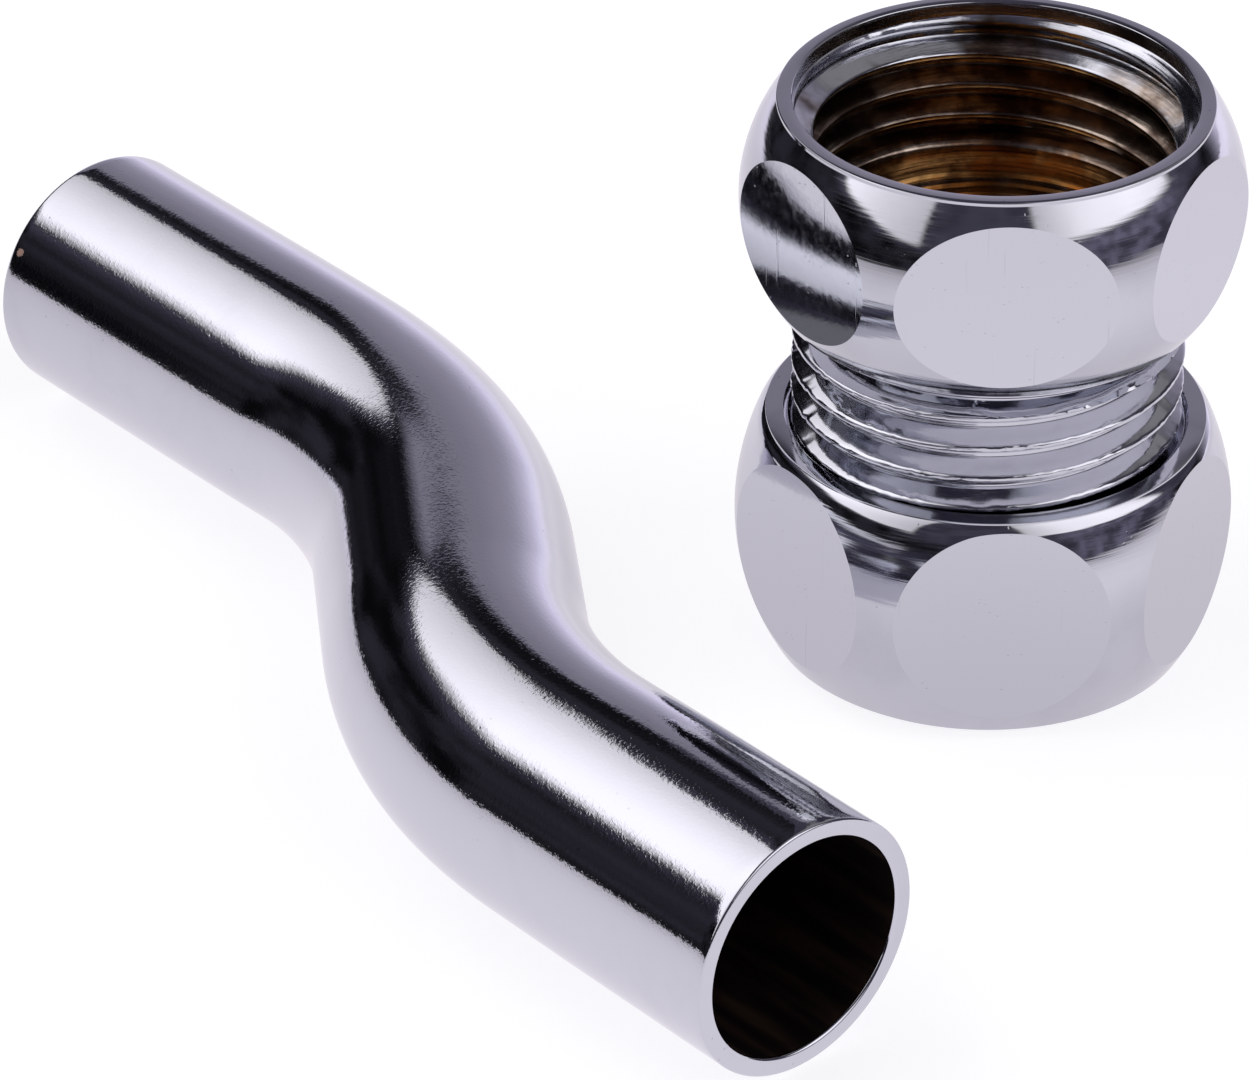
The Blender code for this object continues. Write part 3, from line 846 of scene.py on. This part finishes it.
def make_world():
    """The studio as the metal sees it, by direction: two soft boxes, a backdrop and a dark room.

    Turn is measured from the camera's side, counter-clockwise, and lift up from the horizon.
    """
    world = bpy.data.worlds.new("studio")
    bpy.context.scene.world = world
    world.use_nodes = True
    tree = world.node_tree
    n = Nodes(tree)
    direction = n.new("ShaderNodeTexCoord").outputs["Generated"]
    parts = n.new("ShaderNodeSeparateXYZ")
    n.put(parts.inputs[0], direction)
    x, y, z = parts.outputs
    c, s = math.cos(math.radians(VIEW_AZIMUTH)), math.sin(math.radians(VIEW_AZIMUTH))
    ahead = n.math("ADD", n.math("MULTIPLY", x, c), n.math("MULTIPLY", y, s))
    aside = n.math("SUBTRACT", n.math("MULTIPLY", y, c), n.math("MULTIPLY", x, s))
    turn = n.math("MULTIPLY", n.math("ARCTAN2", aside, ahead), 180.0 / math.pi)
    lift = n.math("MULTIPLY", n.math("ARCSINE", z), 180.0 / math.pi)

    # left soft box
    lower = n.curve(turn, ((-170, 38), (-160, 36), (-152, 31.5), (-140, 30.2), (-130, 31), (-118, 34),
                           (-104, 34.5), (-92, 32.5), (-81, 26), (-67, 22), (-53, 17), (-40, 14)))
    blur = n.curve(turn, ((-160, 1.4), (-135, 1.6), (-118, 4.6), (-104, 4.0), (-88, 2.5), (-50, 1.8)))
    edge = n.math("DIVIDE", n.math("SUBTRACT", lift, lower), blur)
    box = n.step(edge, -1.0, 1.0)
    left_side = n.curve(lift, ((30, -155), (33, -157.5), (38, -161.5), (44, -162.6), (47, -158.5),
                               (51, -152.5), (56, -150)))
    box = n.math("MULTIPLY", box, n.step(n.math("SUBTRACT", turn, left_side), -1.6, 1.6))
    box = n.math("MULTIPLY", box, n.step(turn, -34.0, -38.0))
    box = n.math("MULTIPLY", box, n.step(lift, 72.0, 64.0))
    shine = n.curve(turn, ((-162, 0.55), (-156, 0.85), (-140, 1.12), (-124, 1.36), (-100, 1.55),
                           (-81, 1.36), (-67, 1.16), (-53, 0.95), (-38, 0.74)))
    left = n.math("MULTIPLY", box, shine)

    # right soft box
    box = n.step(lift, 17.0, 22.5)
    box = n.math("MULTIPLY", box, n.step(turn, 15.0, 20.0))
    box = n.math("MULTIPLY", box, n.step(turn, 97.0, 90.0))
    box = n.math("MULTIPLY", box, n.step(lift, 72.0, 60.0))
    shine = n.curve(turn, ((18, 0.72), (31, 1.0), (45, 1.28), (60, 1.36), (75, 1.44), (92, 0.95)))
    right = n.math("MULTIPLY", box, shine)

    # backdrop behind the object, brightest where it meets the table
    cloth = n.curve(lift, ((0, 0.95), (5, 0.70), (10, 0.52), (13.5, 0.42), (18, 0.35), (22, 0.32),
                           (28, 0.265), (31.6, 0.245), (32.7, 0.06), (33.6, 0.008)))
    behind = n.math("MAXIMUM", n.step(turn, 118.0, 146.0), n.step(turn, -156.0, -165.0))
    cloth = n.math("MULTIPLY", cloth, behind)
    above = n.math("MULTIPLY", n.step(lift, 30.0, 36.0), n.step(turn, 174.0, 168.0))
    above = n.math("MULTIPLY", n.math("MULTIPLY", above, n.step(turn, 108.0, 130.0)), 0.26)

    # the dark room: faintly lit patches, a dimmer glow on the right, a pale ceiling
    patch = n.noise(direction, 4.5, detail=2.0)
    near_box = n.math("MULTIPLY", n.step(edge, -3.2, -0.6), n.step(turn, -164.0, -152.0))
    room = n.math("ADD", n.step(patch, 0.35, 0.7, 0.004, 0.032), n.math("MULTIPLY", near_box, 0.045))
    glow = n.math("MULTIPLY", n.step(turn, 24.0, 44.0), n.step(turn, 104.0, 84.0))
    patchy = n.noise(direction, 9.0, detail=3.0)
    room = n.math("ADD", room, n.math("MULTIPLY", glow, n.step(patchy, 0.35, 0.7, 0.05, 0.16)))
    ceiling = n.step(lift, 70.0, 82.0, 0.0, 0.12)
    total = n.math("MAXIMUM", n.math("MAXIMUM", left, right), n.math("MAXIMUM", cloth, above))
    dim = n.math("MAXIMUM", room, ceiling)
    lit = n.step(n.math("SUBTRACT", total, dim), -0.05, 0.05)
    strength = n.math("MAXIMUM", total, dim)
    violet = n.step(n.math("SUBTRACT", cloth, n.math("MAXIMUM", left, above)), 0.0, 0.03)
    lit_tint = n.mix(violet, (1.0, 0.975, 1.01, 1.0), (1.0, 0.93, 1.16, 1.0))
    tint = n.mix(lit, (0.90, 0.84, 1.18, 1.0), lit_tint)
    background = tree.nodes["Background"]
    n.put(background.inputs["Color"], tint)
    n.put(background.inputs["Strength"], strength)


def make_lights():
    """One broad overhead light for the table, kept out of the metal's reflections."""
    data = bpy.data.lights.new("overhead", "AREA")
    data.shape = "DISK"
    data.size = 0.9
    data.energy = 1.0
    lamp = bpy.data.objects.new("overhead", data)
    lamp.location = (-0.05, 0.05, 0.9)
    lamp.visible_glossy = False
    lamp.visible_camera = False
    bpy.context.scene.collection.objects.link(lamp)


def make_camera():
    data = bpy.data.cameras.new("camera")
    data.sensor_width = 36.0
    data.lens = 188.51
    data.dof.use_dof = False
    camera = bpy.data.objects.new("camera", data)
    camera.location = (0.22652, -0.19740, 0.19237)
    camera.rotation_euler = (math.radians(57.945), 0.0, math.radians(48.765))
    bpy.context.scene.collection.objects.link(camera)
    bpy.context.scene.camera = camera
    bpy.context.scene.view_settings.view_transform = "Standard"


make_floor()
make_world()
make_lights()
make_camera()
